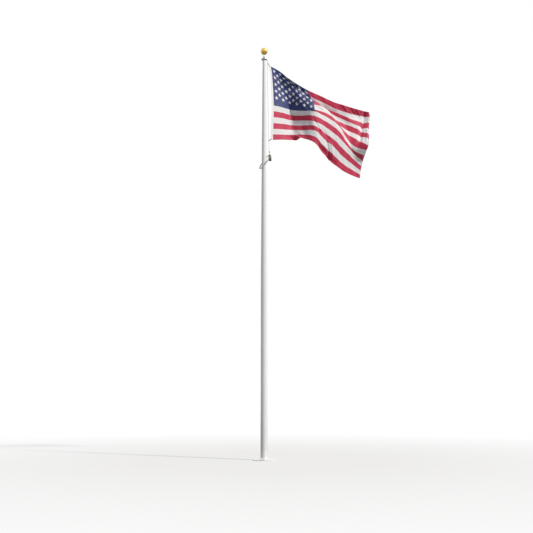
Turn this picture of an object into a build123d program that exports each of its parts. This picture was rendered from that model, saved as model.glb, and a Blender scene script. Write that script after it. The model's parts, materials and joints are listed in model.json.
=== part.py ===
"""Ground-set tapered flagpole with an internal halyard, a revolving truck and a flying flag.

The pole's axis is Z, the ground is at z = 0, and every length is in millimetres. The flag
streams out in the FLY_DIRECTION, measured from +X towards +Y, and the truck faces the same way.
"""

import math
import os

from build123d import *

# Pole shaft
POLE_HEIGHT = 10668.0
POLE_BUTT_RADIUS = 88.9
POLE_TOP_RADIUS = 44.45
POLE_STRAIGHT_HEIGHT = 4800.0
POLE_WALL = 4.8
FOOT_THICKNESS = 12.0
SEAT_GAP = 0.3

# Flash collar at the ground
COLLAR_RADIUS = 295.0
COLLAR_HEIGHT = 77.0
COLLAR_NECK_HEIGHT = 14.0
COLLAR_RIM_HEIGHT = 12.0
COLLAR_SAG = 12.0
COLLAR_SHEET = 2.5

# Access door on the side away from the viewer
DOOR_HEIGHT_ABOVE_GROUND = 1250.0
DOOR_WIDTH = 92.0
DOOR_LENGTH = 240.0
DOOR_CORNER_RADIUS = 30.0
DOOR_SHEET = 3.0
DOOR_GAP = 0.8
DOOR_FRAME_WIDTH = 12.0
DOOR_FRAME_DEPTH = 9.0
DOOR_FRAME_PROUD = 2.0
DOOR_LOCK_RADIUS = 9.0
DOOR_LOCK_PROUD = 2.5
DOOR_LOCK_DROP = 28.0

# Rope
ROPE_RADIUS = 4.0

# Direction in which the flag flies
FLY_DIRECTION = 34.0

# Truck: a sleeve fixed in the pole top, and a housing that revolves on it
SLEEVE_LENGTH = 150.0
SLEEVE_WALL = 5.0
SLEEVE_FLANGE_THICKNESS = 8.0
BEARING_THICKNESS = 4.0
BEARING_WIDTH = 10.0
HUB_PLATE_THICKNESS = 8.0
HUB_SPIGOT_LENGTH = 130.0
HUB_SPIGOT_WALL = 4.0
HUB_RUNNING_GAP = 0.6
ROPE_REACH = 105.0
SHEAVE_RADIUS = 22.0
SHEAVE_PITCH_RADIUS = 20.0
SHEAVE_WIDTH = 16.0
SHEAVE_SIDE_GAP = 2.0
SHEAVE_RUNNING_GAP = 3.0
SHEAVE_PIN_RADIUS = 5.0
SHEAVE_PIN_GAP = 0.1
HOUSING_WALL = 6.0
BONNET_RADIUS = 80.0
BONNET_RIM_DROP = 4.0
BONNET_RIM_HEIGHT = 20.0
BONNET_WALL = 5.0
BONNET_BOSS_RADIUS = 27.0
BONNET_BOSS_HEIGHT = 46.0
BONNET_NECK_HEIGHT = 30.0
BONNET_CUT_GAP = 0.5

# Ball and its spindle
BALL_RADIUS = 95.0
BALL_WALL = 2.0
BALL_NECK_RADIUS = 11.0
BALL_NECK_LENGTH = 8.0
BALL_CLEARANCE = 37.0
SPINDLE_RADIUS = 6.5
SPINDLE_NUT_RADIUS = 14.0
SPINDLE_NUT_HEIGHT = 10.0

# Hoist: reach is the distance from the pole's axis in the fly direction
FLAG_DROP = 113.0
LINK_DROP = 30.0
LINK_RADIUS = 11.0
LINK_WIRE_RADIUS = 3.0
HALYARD_ROUTE = [(105, 75), (107, 310), (118, 735), (131, 1300), (143, 1855)]
HALYARD_TAIL = [(149, 0.3), (152, 0.7)]
SWIVEL_RADIUS = 9.0
SWIVEL_LENGTH = 44.0
SWIVEL_LEAN = 10.0
RING_RADIUS = 11.0
RING_WIRE_RADIUS = 3.0
WEIGHT_RADIUS = 39.0
WEIGHT_LENGTH = 160.0
WEIGHT_HANG = 391.0
WEIGHT_TOP_REACH = 178.0
WEIGHT_EYE_STEM = 9.0
WEIGHT_LEAN = 6.0
WEIGHT_EDGE = 5.0
HOOK_SHANK_RADIUS = 6.0
HOOK_EYE_RADIUS = 10.0
HOOK_BOW_RADIUS = 9.0
HOOK_BOW_LENGTH = 34.0
HOOK_FALL = 60.0

# Retainer sling round the pole
SLING_LOW_REACH = -112.0
SLING_FALL = 416.0
SLING_HALF_WIDTH = 130.0
SLING_BEADS = 38
SLING_BARE_PLACES = 2
BEAD_RADIUS = 15.0
BEAD_END_RADIUS = 8.0
BEAD_HALF_LENGTH = 11.0
BEAD_HALF_BAND = 5.0
BEAD_SIDES = 10
BEAD_BORE_GAP = 0.9
SLING_CABLE_RADIUS = 2.0
SLING_CABLE_SIDES = 8

# Flag: lines of the hung cloth from the hoist to the fly, one below the other; a point gives x, y
# and the fall below the flag's top corner
CLOTH_THICKNESS = 4.0
HEADING_WIDTH = 50.0
SEAM_GAP = 1.9
GROMMET_RADIUS = 15.0
GROMMET_NECK_RADIUS = 10.5
GROMMET_HOLE_RADIUS = 8.5
GROMMET_FLANGE = 1.5
GROMMET_INSET = 22.0
GROMMET_EDGE = 18.0
CLOTH_LINES = [
    [(130, 90, 0), (410, 270, 85), (620, 410, 195), (820, 540, 285),
     (1210, 760, 425), (1950, 1040, 665), (2710, 1460, 745), (3045, 1600, 775)],
    [(180, 120, 390), (450, 310, 415), (720, 390, 475), (940, 400, 545),
     (1300, 700, 745), (1980, 1100, 985), (2710, 1480, 1175), (3030, 1580, 1195)],
    [(200, 130, 790), (480, 310, 795), (730, 420, 865), (970, 320, 945),
     (1390, 500, 955), (2000, 940, 1245), (2670, 1420, 1505), (3020, 1580, 1585)],
    [(200, 135, 1435), (510, 300, 1425), (750, 470, 1425), (990, 340, 1475),
     (1400, 470, 1455), (2030, 820, 1745), (2540, 1280, 2115), (2820, 1520, 2265)],
    [(175, 120, 2100), (510, 250, 2045), (810, 380, 1995), (1000, 240, 1995),
     (1400, 440, 2115), (1890, 900, 2475), (2450, 1340, 2725), (2740, 1560, 2765)],
]
CLOTH_ROWS = 9
CLOTH_COLUMNS = 17
HEADING_COLUMNS = 3


def turned(reach, side, height):
    """Give the point at a reach along the fly direction and a side step across it."""
    angle = math.radians(FLY_DIRECTION)
    return Vector(
        reach * math.cos(angle) - side * math.sin(angle),
        reach * math.sin(angle) + side * math.cos(angle),
        height,
    )


def save(piece, name):
    """Label a finished piece and write it as its own STEP file."""
    piece.part.label = name
    export_step(piece.part, f"parts/{name}.step")


os.makedirs("parts", exist_ok=True)

fly_plane = Plane(origin=(0, 0, 0), x_dir=turned(1, 0, 0), z_dir=turned(0, -1, 0))
truck_base = POLE_HEIGHT + SLEEVE_FLANGE_THICKNESS + BEARING_THICKNESS + SEAT_GAP
hub_top = truck_base + HUB_PLATE_THICKNESS
sheave_height = hub_top + SHEAVE_RUNNING_GAP + SHEAVE_RADIUS
sheave_inner_reach = SHEAVE_PITCH_RADIUS
sheave_outer_reach = ROPE_REACH - SHEAVE_PITCH_RADIUS
slot_width = SHEAVE_WIDTH + 2 * SHEAVE_SIDE_GAP
housing_width = slot_width + 2 * HOUSING_WALL
top_bore_radius = POLE_TOP_RADIUS - POLE_WALL
flag_top = POLE_HEIGHT - FLAG_DROP

# Pole shaft: a tube, parallel at the foot and tapered above
with BuildPart() as pole_shaft:
    with BuildSketch(Plane.XZ) as wall_section:
        with BuildLine() as wall_outline:
            Polyline(
                (POLE_BUTT_RADIUS, FOOT_THICKNESS),
                (POLE_BUTT_RADIUS, POLE_STRAIGHT_HEIGHT),
                (POLE_TOP_RADIUS, POLE_HEIGHT),
                (POLE_TOP_RADIUS - POLE_WALL, POLE_HEIGHT),
                (POLE_BUTT_RADIUS - POLE_WALL, POLE_STRAIGHT_HEIGHT),
                (POLE_BUTT_RADIUS - POLE_WALL, FOOT_THICKNESS),
                close=True,
            )
        make_face()
    revolve(axis=Axis.Z)
    with BuildSketch(Plane.XZ) as door_opening:
        with Locations((0, DOOR_HEIGHT_ABOVE_GROUND)):
            RectangleRounded(DOOR_WIDTH, DOOR_LENGTH, DOOR_CORNER_RADIUS)
    extrude(amount=-2 * POLE_BUTT_RADIUS, mode=Mode.SUBTRACT)
save(pole_shaft, "pole_shaft")

# Foot plate: closes the butt and carries the pole
with BuildPart() as foot_plate:
    Cylinder(POLE_BUTT_RADIUS, FOOT_THICKNESS, align=(Align.CENTER, Align.CENTER, Align.MIN))
save(foot_plate, "foot_plate")

# Flash collar: a spun sheet cone with a short neck and a turned-down rim
with BuildPart() as flash_collar:
    with BuildSketch(Plane.XZ) as collar_section:
        with BuildLine() as collar_outline:
            neck = POLE_BUTT_RADIUS + SEAT_GAP
            neck_foot = COLLAR_HEIGHT - COLLAR_NECK_HEIGHT
            Line((neck, COLLAR_HEIGHT), (neck, neck_foot))
            SagittaArc((neck, neck_foot), (COLLAR_RADIUS - COLLAR_SHEET, COLLAR_RIM_HEIGHT), -COLLAR_SAG)
            Line(
                (COLLAR_RADIUS - COLLAR_SHEET, COLLAR_RIM_HEIGHT),
                (COLLAR_RADIUS - COLLAR_SHEET, 0),
            )
            Line((COLLAR_RADIUS - COLLAR_SHEET, 0), (COLLAR_RADIUS, 0))
            Line((COLLAR_RADIUS, 0), (COLLAR_RADIUS, COLLAR_RIM_HEIGHT + COLLAR_SHEET))
            SagittaArc(
                (COLLAR_RADIUS, COLLAR_RIM_HEIGHT + COLLAR_SHEET),
                (neck + COLLAR_SHEET, neck_foot + COLLAR_SHEET),
                COLLAR_SAG,
            )
            Line((neck + COLLAR_SHEET, neck_foot + COLLAR_SHEET), (neck + COLLAR_SHEET, COLLAR_HEIGHT))
            Line((neck + COLLAR_SHEET, COLLAR_HEIGHT), (neck, COLLAR_HEIGHT))
        make_face()
    revolve(axis=Axis.Z)
save(flash_collar, "flash_collar")

# Door frame: a ring that lines the opening, bent to the pole's round
with BuildPart() as door_frame:
    with BuildSketch(Plane.XZ) as frame_ring:
        with Locations((0, DOOR_HEIGHT_ABOVE_GROUND)):
            RectangleRounded(
                DOOR_WIDTH - 2 * SEAT_GAP, DOOR_LENGTH - 2 * SEAT_GAP, DOOR_CORNER_RADIUS - SEAT_GAP
            )
            RectangleRounded(
                DOOR_WIDTH - 2 * DOOR_FRAME_WIDTH,
                DOOR_LENGTH - 2 * DOOR_FRAME_WIDTH,
                DOOR_CORNER_RADIUS - DOOR_FRAME_WIDTH,
                mode=Mode.SUBTRACT,
            )
    extrude(amount=-2 * POLE_BUTT_RADIUS)
    with BuildSketch(Plane.XY.offset(DOOR_HEIGHT_ABOVE_GROUND - DOOR_LENGTH / 2)) as frame_bend:
        Circle(POLE_BUTT_RADIUS + DOOR_FRAME_PROUD)
        Circle(POLE_BUTT_RADIUS + DOOR_FRAME_PROUD - DOOR_FRAME_DEPTH, mode=Mode.SUBTRACT)
    extrude(amount=DOOR_LENGTH, mode=Mode.INTERSECT)
save(door_frame, "door_frame")

# Access door: a curved plate inside the frame
door_plate_width = DOOR_WIDTH - 2 * DOOR_FRAME_WIDTH - 2 * DOOR_GAP
door_plate_length = DOOR_LENGTH - 2 * DOOR_FRAME_WIDTH - 2 * DOOR_GAP
lock_height = DOOR_HEIGHT_ABOVE_GROUND + door_plate_length / 2 - DOOR_LOCK_DROP
with BuildPart() as access_door:
    with BuildSketch(Plane.XZ) as door_outline:
        with Locations((0, DOOR_HEIGHT_ABOVE_GROUND)):
            RectangleRounded(
                door_plate_width, door_plate_length, DOOR_CORNER_RADIUS - DOOR_FRAME_WIDTH - DOOR_GAP
            )
        with Locations((0, lock_height)):
            Circle(DOOR_LOCK_RADIUS + SEAT_GAP, mode=Mode.SUBTRACT)
    extrude(amount=-2 * POLE_BUTT_RADIUS)
    with BuildSketch(Plane.XY.offset(DOOR_HEIGHT_ABOVE_GROUND - DOOR_LENGTH / 2)) as door_bend:
        Circle(POLE_BUTT_RADIUS)
        Circle(POLE_BUTT_RADIUS - DOOR_SHEET, mode=Mode.SUBTRACT)
    extrude(amount=DOOR_LENGTH, mode=Mode.INTERSECT)
save(access_door, "access_door")

# Door lock: a round barrel through the plate
with BuildPart() as door_lock:
    with BuildSketch(Plane.XZ.offset(-(POLE_BUTT_RADIUS - DOOR_FRAME_DEPTH))) as lock_outline:
        with Locations((0, lock_height)):
            Circle(DOOR_LOCK_RADIUS)
    extrude(amount=-(DOOR_FRAME_DEPTH + DOOR_LOCK_PROUD))
save(door_lock, "door_lock")

# Truck sleeve: fixed in the pole top, with a flange on its rim
sleeve_radius = top_bore_radius - SEAT_GAP
with BuildPart() as truck_sleeve:
    with BuildSketch(Plane.XY.offset(POLE_HEIGHT - SLEEVE_LENGTH)) as sleeve_section:
        Circle(sleeve_radius)
    extrude(amount=SLEEVE_LENGTH)
    with BuildSketch(Plane.XY.offset(POLE_HEIGHT)) as flange_section:
        Circle(POLE_TOP_RADIUS)
    extrude(amount=SLEEVE_FLANGE_THICKNESS)
    with BuildSketch(Plane.XY.offset(POLE_HEIGHT - SLEEVE_LENGTH)) as sleeve_bore:
        Circle(sleeve_radius - SLEEVE_WALL)
    extrude(amount=SLEEVE_LENGTH + SLEEVE_FLANGE_THICKNESS, mode=Mode.SUBTRACT)
save(truck_sleeve, "truck_sleeve")

# Bearing ring: lies on the flange
with BuildPart() as bearing_ring:
    with BuildSketch(Plane.XY.offset(POLE_HEIGHT + SLEEVE_FLANGE_THICKNESS)) as bearing_section:
        Circle(POLE_TOP_RADIUS)
        Circle(POLE_TOP_RADIUS - BEARING_WIDTH, mode=Mode.SUBTRACT)
    extrude(amount=BEARING_THICKNESS)
save(bearing_ring, "bearing_ring")

# Truck hub: a plate on the bearing, with a hollow spigot down the sleeve
spigot_radius = sleeve_radius - SLEEVE_WALL - HUB_RUNNING_GAP
with BuildPart() as truck_hub:
    with BuildSketch(Plane.XY.offset(truck_base)) as hub_section:
        Circle(POLE_TOP_RADIUS + HOUSING_WALL)
    extrude(amount=HUB_PLATE_THICKNESS)
    with BuildSketch(Plane.XY.offset(truck_base)) as spigot_section:
        Circle(spigot_radius)
    extrude(amount=-HUB_SPIGOT_LENGTH)
    with BuildSketch(Plane.XY.offset(truck_base - HUB_SPIGOT_LENGTH)) as spigot_bore:
        Circle(spigot_radius - HUB_SPIGOT_WALL)
    extrude(amount=HUB_SPIGOT_LENGTH + HUB_PLATE_THICKNESS, mode=Mode.SUBTRACT)
save(truck_hub, "truck_hub")

# Sheave housing: a channel that runs out from the hub over both sheaves
housing_side = fly_plane.offset(-housing_width / 2)
slot_side = fly_plane.offset(-slot_width / 2)
housing_roof = sheave_height + SHEAVE_RADIUS + SHEAVE_RUNNING_GAP
with BuildPart() as sheave_housing:
    with BuildSketch(housing_side) as housing_outline:
        with BuildLine() as housing_edge:
            back = -sheave_inner_reach - SHEAVE_RUNNING_GAP - HOUSING_WALL
            front = ROPE_REACH + ROPE_RADIUS + SHEAVE_RUNNING_GAP + HOUSING_WALL
            roof = housing_roof + HOUSING_WALL
            Polyline((back, roof), (back, hub_top), (front, hub_top), (front, sheave_height))
            RadiusArc((front, sheave_height), (front - roof + sheave_height, roof), -(roof - sheave_height))
            Line((front - roof + sheave_height, roof), (back, roof))
        make_face()
    extrude(amount=housing_width)
    with BuildSketch(slot_side) as slot_outline:
        with BuildLine() as slot_edge:
            slot_back = back + HOUSING_WALL
            slot_front = front - HOUSING_WALL
            nose = housing_roof - sheave_height
            Polyline((slot_back, housing_roof), (slot_back, hub_top), (slot_front, hub_top))
            Line((slot_front, hub_top), (slot_front, sheave_height))
            RadiusArc((slot_front, sheave_height), (slot_front - nose, housing_roof), -nose)
            Line((slot_front - nose, housing_roof), (slot_back, housing_roof))
        make_face()
    extrude(amount=slot_width, mode=Mode.SUBTRACT)
    with BuildSketch(housing_side) as pin_holes:
        with Locations((sheave_inner_reach, sheave_height), (sheave_outer_reach, sheave_height)):
            Circle(SHEAVE_PIN_RADIUS + SHEAVE_PIN_GAP)
    extrude(amount=housing_width, mode=Mode.SUBTRACT)
save(sheave_housing, "sheave_housing")

# Sheaves and their pins
for name, reach in (("inner", sheave_inner_reach), ("outer", sheave_outer_reach)):
    with BuildPart() as sheave:
        with BuildSketch(fly_plane.offset(-SHEAVE_WIDTH / 2)) as sheave_outline:
            with Locations((reach, sheave_height)):
                Circle(SHEAVE_RADIUS)
                Circle(SHEAVE_PIN_RADIUS + SHEAVE_PIN_GAP, mode=Mode.SUBTRACT)
        extrude(amount=SHEAVE_WIDTH)
        sheave_axis = Plane(
            origin=turned(reach, 0, sheave_height), x_dir=turned(1, 0, 0), z_dir=turned(0, -1, 0)
        )
        with BuildSketch(Plane(origin=sheave_axis.origin, x_dir=turned(1, 0, 0), z_dir=(0, 0, 1))) as groove:
            with Locations((SHEAVE_PITCH_RADIUS, 0)):
                Circle(ROPE_RADIUS + SEAT_GAP)
                Rectangle(
                    SHEAVE_RADIUS, 2 * (ROPE_RADIUS + SEAT_GAP), align=(Align.MIN, Align.CENTER)
                )
        revolve(axis=Axis(sheave_axis.origin, sheave_axis.z_dir), mode=Mode.SUBTRACT)
    save(sheave, f"sheave_{name}")
    with BuildPart() as sheave_pin:
        with BuildSketch(housing_side) as pin_outline:
            with Locations((reach, sheave_height)):
                Circle(SHEAVE_PIN_RADIUS)
        extrude(amount=housing_width)
    save(sheave_pin, f"sheave_pin_{name}")

# Truck bonnet: a spun dome over the housing, with a boss for the spindle
bonnet_rim_foot = hub_top - BONNET_RIM_DROP
bonnet_rim_top = bonnet_rim_foot + BONNET_RIM_HEIGHT
bonnet_boss_foot = housing_roof + HOUSING_WALL + SEAT_GAP
bonnet_top = bonnet_boss_foot + BONNET_BOSS_HEIGHT
bonnet_neck_foot = bonnet_top - BONNET_NECK_HEIGHT
bonnet_bore = BONNET_RADIUS - BONNET_WALL
spindle_bore = SPINDLE_RADIUS + SHEAVE_PIN_GAP
with BuildPart() as truck_bonnet:
    with BuildSketch(Plane.XZ) as bonnet_section:
        with BuildLine() as bonnet_outline:
            Line((bonnet_bore, bonnet_rim_foot), (BONNET_RADIUS, bonnet_rim_foot))
            Line((BONNET_RADIUS, bonnet_rim_foot), (BONNET_RADIUS, bonnet_rim_top))
            Line((BONNET_RADIUS, bonnet_rim_top), (BONNET_BOSS_RADIUS, bonnet_neck_foot))
            Line((BONNET_BOSS_RADIUS, bonnet_neck_foot), (BONNET_BOSS_RADIUS, bonnet_top))
            Line((BONNET_BOSS_RADIUS, bonnet_top), (spindle_bore, bonnet_top))
            Line((spindle_bore, bonnet_top), (spindle_bore, bonnet_boss_foot))
            Line((spindle_bore, bonnet_boss_foot), (BONNET_BOSS_RADIUS, bonnet_boss_foot))
            Line((BONNET_BOSS_RADIUS, bonnet_boss_foot), (bonnet_bore, bonnet_rim_top - BONNET_WALL))
            Line((bonnet_bore, bonnet_rim_top - BONNET_WALL), (bonnet_bore, bonnet_rim_foot))
        make_face()
    revolve(axis=Axis.Z)
    with BuildSketch(fly_plane.offset(-housing_width / 2 - BONNET_CUT_GAP)) as bonnet_cut:
        with Locations((back - BONNET_CUT_GAP, bonnet_rim_foot)):
            Rectangle(
                2 * BONNET_RADIUS, bonnet_boss_foot - bonnet_rim_foot, align=(Align.MIN, Align.MIN)
            )
    extrude(amount=housing_width + 2 * BONNET_CUT_GAP, mode=Mode.SUBTRACT)
save(truck_bonnet, "truck_bonnet")

# Ball spindle, its nut and the ball
ball_centre_height = bonnet_top + BALL_CLEARANCE + BALL_RADIUS
with BuildPart() as ball_spindle:
    with BuildSketch(Plane.XY.offset(bonnet_boss_foot)) as spindle_section:
        Circle(SPINDLE_RADIUS)
    extrude(amount=ball_centre_height - bonnet_boss_foot)
save(ball_spindle, "ball_spindle")

with BuildPart() as spindle_nut:
    with BuildSketch(Plane.XY.offset(bonnet_top)) as nut_section:
        RegularPolygon(SPINDLE_NUT_RADIUS, 6)
        Circle(spindle_bore, mode=Mode.SUBTRACT)
    extrude(amount=SPINDLE_NUT_HEIGHT)
save(spindle_nut, "spindle_nut")

ball_foot_height = ball_centre_height - BALL_RADIUS
with BuildPart() as ball:
    with BuildSketch(Plane.XZ) as ball_section:
        with Locations((0, ball_centre_height)):
            Circle(BALL_RADIUS)
            Circle(BALL_RADIUS - BALL_WALL, mode=Mode.SUBTRACT)
            with Locations((-BALL_RADIUS, 0)):
                Rectangle(2 * BALL_RADIUS, 2 * BALL_RADIUS, mode=Mode.SUBTRACT)
    revolve(axis=Axis.Z)
    with BuildSketch(Plane.XY.offset(ball_foot_height)) as neck_section:
        Circle(BALL_NECK_RADIUS)
    extrude(amount=BALL_NECK_LENGTH)
    with BuildSketch(Plane.XY.offset(ball_foot_height)) as neck_bore:
        Circle(spindle_bore)
    extrude(amount=BALL_NECK_LENGTH, mode=Mode.SUBTRACT)
save(ball, "ball")

# Halyard over the sheaves: up the pole's axis, across, and down outside
rope_top = sheave_height + SHEAVE_PITCH_RADIUS
with BuildPart() as halyard_turn:
    with BuildLine(fly_plane) as turn_path:
        Line((0, truck_base - HUB_SPIGOT_LENGTH), (0, sheave_height))
        RadiusArc((0, sheave_height), (sheave_inner_reach, rope_top), SHEAVE_PITCH_RADIUS)
        Line((sheave_inner_reach, rope_top), (sheave_outer_reach, rope_top))
        RadiusArc((sheave_outer_reach, rope_top), (ROPE_REACH, sheave_height), SHEAVE_PITCH_RADIUS)
        Line((ROPE_REACH, sheave_height), (ROPE_REACH, hub_top))
    with BuildSketch(Plane.XY.offset(truck_base - HUB_SPIGOT_LENGTH)) as turn_section:
        Circle(ROPE_RADIUS)
    sweep()
save(halyard_turn, "halyard_turn")

# Halyard end between the truck and the link: it lengthens as the flag comes down
link_height = POLE_HEIGHT - LINK_DROP
with BuildPart() as halyard_fall:
    with BuildSketch(Plane(origin=turned(ROPE_REACH, 0, link_height + LINK_RADIUS))) as fall_section:
        Circle(ROPE_RADIUS)
    extrude(amount=hub_top - link_height - LINK_RADIUS)
save(halyard_fall, "halyard_fall")


def ring(centre, axis, radius, wire):
    """Make a wire ring about an axis, as a private solid."""
    turned_ring = Plane(origin=(0, 0, 0), z_dir=axis).location * Torus(radius, wire, mode=Mode.PRIVATE)
    return Pos(*centre) * turned_ring


# Link: a ring that joins the halyard, the lead rope and the top snap
side_way = turned(0, 1, 0)
link_centre = turned(ROPE_REACH, 0, link_height)
with BuildPart() as halyard_link:
    add(ring(link_centre, side_way, LINK_RADIUS - LINK_WIRE_RADIUS, LINK_WIRE_RADIUS))
save(halyard_link, "halyard_link")


def cloth_column(along):
    """Give the cloth's line down from the top edge, at a share of the way to the fly."""
    return Spline(*[line @ along for line in cloth_lines], mode=Mode.PRIVATE)


def cloth_hole(down):
    """Give the plane of a hole in the heading, square to the cloth."""
    step = cloth_edge_share / 2
    column = cloth_column(cloth_edge_share)
    across = cloth_column(cloth_edge_share + step) @ down - cloth_column(cloth_edge_share - step) @ down
    return Plane(origin=column @ down, z_dir=across.cross(column % down))


# Holes in the flag's heading
cloth_lines = []
for line in CLOTH_LINES:
    points = [Vector(x, y, flag_top - fall) for x, y, fall in line]
    cloth_lines.append(Spline(*points, mode=Mode.PRIVATE))
heading_share = HEADING_WIDTH / cloth_lines[0].length
cloth_edge_share = GROMMET_EDGE / cloth_lines[0].length
grommet_share = GROMMET_INSET / cloth_column(0).length
hole_planes = {"top": cloth_hole(grommet_share), "bottom": cloth_hole(1 - grommet_share)}
hook_height = hole_planes["bottom"].origin.Z - HOOK_FALL

# Ring below the swivel: carries the counterweight and the sling
lean = math.radians(WEIGHT_LEAN)
weight_top = turned(WEIGHT_TOP_REACH, 0, hook_height - WEIGHT_HANG)
weight_down = turned(math.sin(lean), 0, -math.cos(lean))
weight_across = turned(math.cos(lean), 0, math.sin(lean))
weight_eye_centre = weight_top - weight_down * (WEIGHT_EYE_STEM + RING_RADIUS)
link_step = 2 * RING_RADIUS - 2 * RING_WIRE_RADIUS - SEAT_GAP
ring_centre = weight_eye_centre - weight_down * link_step
with BuildPart() as sling_ring:
    add(ring(ring_centre, weight_across, RING_RADIUS, RING_WIRE_RADIUS))
save(sling_ring, "sling_ring")

# Swivel: a barrel on an eye, between the lead rope and the ring
swivel_lean = math.radians(SWIVEL_LEAN)
swivel_way = turned(-math.sin(swivel_lean), 0, math.cos(swivel_lean))
swivel_eye_centre = ring_centre - weight_down * link_step
barrel_foot = swivel_eye_centre + swivel_way * RING_RADIUS
with BuildPart() as swivel:
    add(ring(swivel_eye_centre, side_way, RING_RADIUS, RING_WIRE_RADIUS))
    with BuildSketch(Plane(origin=barrel_foot, z_dir=swivel_way)) as barrel:
        Circle(SWIVEL_RADIUS)
    extrude(amount=SWIVEL_LENGTH)
save(swivel, "swivel")

# Lead rope: from the link down beside the flag to the swivel
lead_top = link_height - LINK_RADIUS - SEAT_GAP
lead_end = barrel_foot + swivel_way * (SWIVEL_LENGTH + 2 * SEAT_GAP)
lead_foot = (math.hypot(lead_end.X, lead_end.Y), lead_end.Z)
lead_route = [(ROPE_REACH, lead_top)]
lead_route += [(reach, flag_top - fall) for reach, fall in HALYARD_ROUTE]
lead_route += [(reach, hook_height - share * (hook_height - lead_end.Z)) for reach, share in HALYARD_TAIL]
lead_route += [lead_foot]
lead_radii = []
for before, at, after in zip(lead_route, lead_route[1:], lead_route[2:]):
    turn = (Vector(*at) - Vector(*before)).get_angle(Vector(*after) - Vector(*at))
    shorter = min(math.dist(before, at), math.dist(at, after))
    lead_radii.append(0.45 * shorter / math.tan(math.radians(turn) / 2))
with BuildPart() as halyard_lead:
    with BuildLine(fly_plane) as lead_path:
        FilletPolyline(*lead_route, radius=lead_radii)
    with BuildSketch(Plane(origin=lead_path.line @ 0, z_dir=lead_path.line % 0)) as lead_section:
        Circle(ROPE_RADIUS)
    sweep()
save(halyard_lead, "halyard_lead")

# Counterweight: a cylinder that leans outwards at its foot
weight_plane = Plane(origin=weight_top, x_dir=weight_across, z_dir=weight_down)
with BuildPart() as counterweight:
    with BuildSketch(weight_plane) as weight_section:
        Circle(WEIGHT_RADIUS)
    extrude(amount=WEIGHT_LENGTH)
    chamfer(counterweight.edges(), WEIGHT_EDGE)
save(counterweight, "counterweight")

with BuildPart() as weight_eye:
    add(ring(weight_eye_centre, side_way, RING_RADIUS, RING_WIRE_RADIUS))
    with BuildSketch(weight_plane) as eye_stem:
        Circle(RING_WIRE_RADIUS)
    extrude(amount=-WEIGHT_EYE_STEM)
save(weight_eye, "weight_eye")


def cloth_face(first, last, columns):
    """Make the middle face of the cloth between two shares of the way to the fly."""
    grid = []
    for column in range(columns):
        hung = cloth_column(first + (last - first) * column / (columns - 1))
        grid.append([hung @ (row / (CLOTH_ROWS - 1)) for row in range(CLOTH_ROWS)])
    return Face.make_surface_from_array_of_points(grid)


# Flag: the heading is the first strip of the cloth
with BuildPart() as flag_heading:
    thicken(cloth_face(0, heading_share, HEADING_COLUMNS), amount=CLOTH_THICKNESS / 2, both=True)
    with BuildSketch(*hole_planes.values()) as hoist_holes:
        Circle(GROMMET_NECK_RADIUS + SEAT_GAP)
    extrude(amount=2 * CLOTH_THICKNESS, both=True, mode=Mode.SUBTRACT)
save(flag_heading, "flag_heading")

# The field is the rest; its first edge leans, so the seam's gap leaves room for that
field_share = (HEADING_WIDTH + SEAM_GAP) / cloth_lines[0].length
with BuildPart() as flag_field:
    thicken(cloth_face(field_share, 1, CLOTH_COLUMNS), amount=CLOTH_THICKNESS / 2, both=True)
save(flag_field, "flag_field")

# Retainer sling: a cable loop round the pole, threaded through beads
sling_low = turned(SLING_LOW_REACH, 0, weight_top.Z - SLING_FALL)
sling_pull = (sling_low - weight_eye_centre).normalized()
sling_top = weight_eye_centre + sling_pull * (
    RING_RADIUS - RING_WIRE_RADIUS - SLING_CABLE_RADIUS - SEAT_GAP
)
sling_half_slope = (sling_top - sling_low).length / 2
sling_plane = Plane(
    origin=(sling_top + sling_low) / 2, x_dir=-sling_pull, z_dir=sling_pull.cross(side_way)
)
with BuildLine(sling_plane) as sling_path:
    EllipticalCenterArc((0, 0), sling_half_slope, SLING_HALF_WIDTH, 0, arc_size=180)
    EllipticalCenterArc((0, 0), sling_half_slope, SLING_HALF_WIDTH, 180, arc_size=180)
with BuildPart() as sling_cable:
    with BuildSketch(Plane(origin=sling_path.wire() @ 0, z_dir=sling_path.wire() % 0)) as cable_section:
        RegularPolygon(SLING_CABLE_RADIUS, SLING_CABLE_SIDES)
    sweep(path=sling_path.wire())
save(sling_cable, "sling_cable")

with BuildPart() as bead:
    for height, radius in (
        (-BEAD_HALF_LENGTH, BEAD_END_RADIUS),
        (-BEAD_HALF_BAND, BEAD_RADIUS),
        (BEAD_HALF_BAND, BEAD_RADIUS),
        (BEAD_HALF_LENGTH, BEAD_END_RADIUS),
    ):
        with BuildSketch(Plane.XY.offset(height)):
            RegularPolygon(radius, BEAD_SIDES)
    loft(ruled=True)
    with BuildSketch(Plane.XY.offset(-BEAD_RADIUS)):
        RegularPolygon(SLING_CABLE_RADIUS + BEAD_BORE_GAP, 6, major_radius=False)
    extrude(amount=2 * BEAD_RADIUS, mode=Mode.SUBTRACT)
loop = sling_path.wire()
bead_places = [
    Plane(origin=loop @ ((count + 0.5) / SLING_BEADS), z_dir=loop % ((count + 0.5) / SLING_BEADS))
    for count in range(SLING_BARE_PLACES, SLING_BEADS - SLING_BARE_PLACES)
]
with BuildPart() as sling_beads:
    with Locations(*bead_places):
        add(bead.part)
save(sling_beads, "sling_beads")

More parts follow.
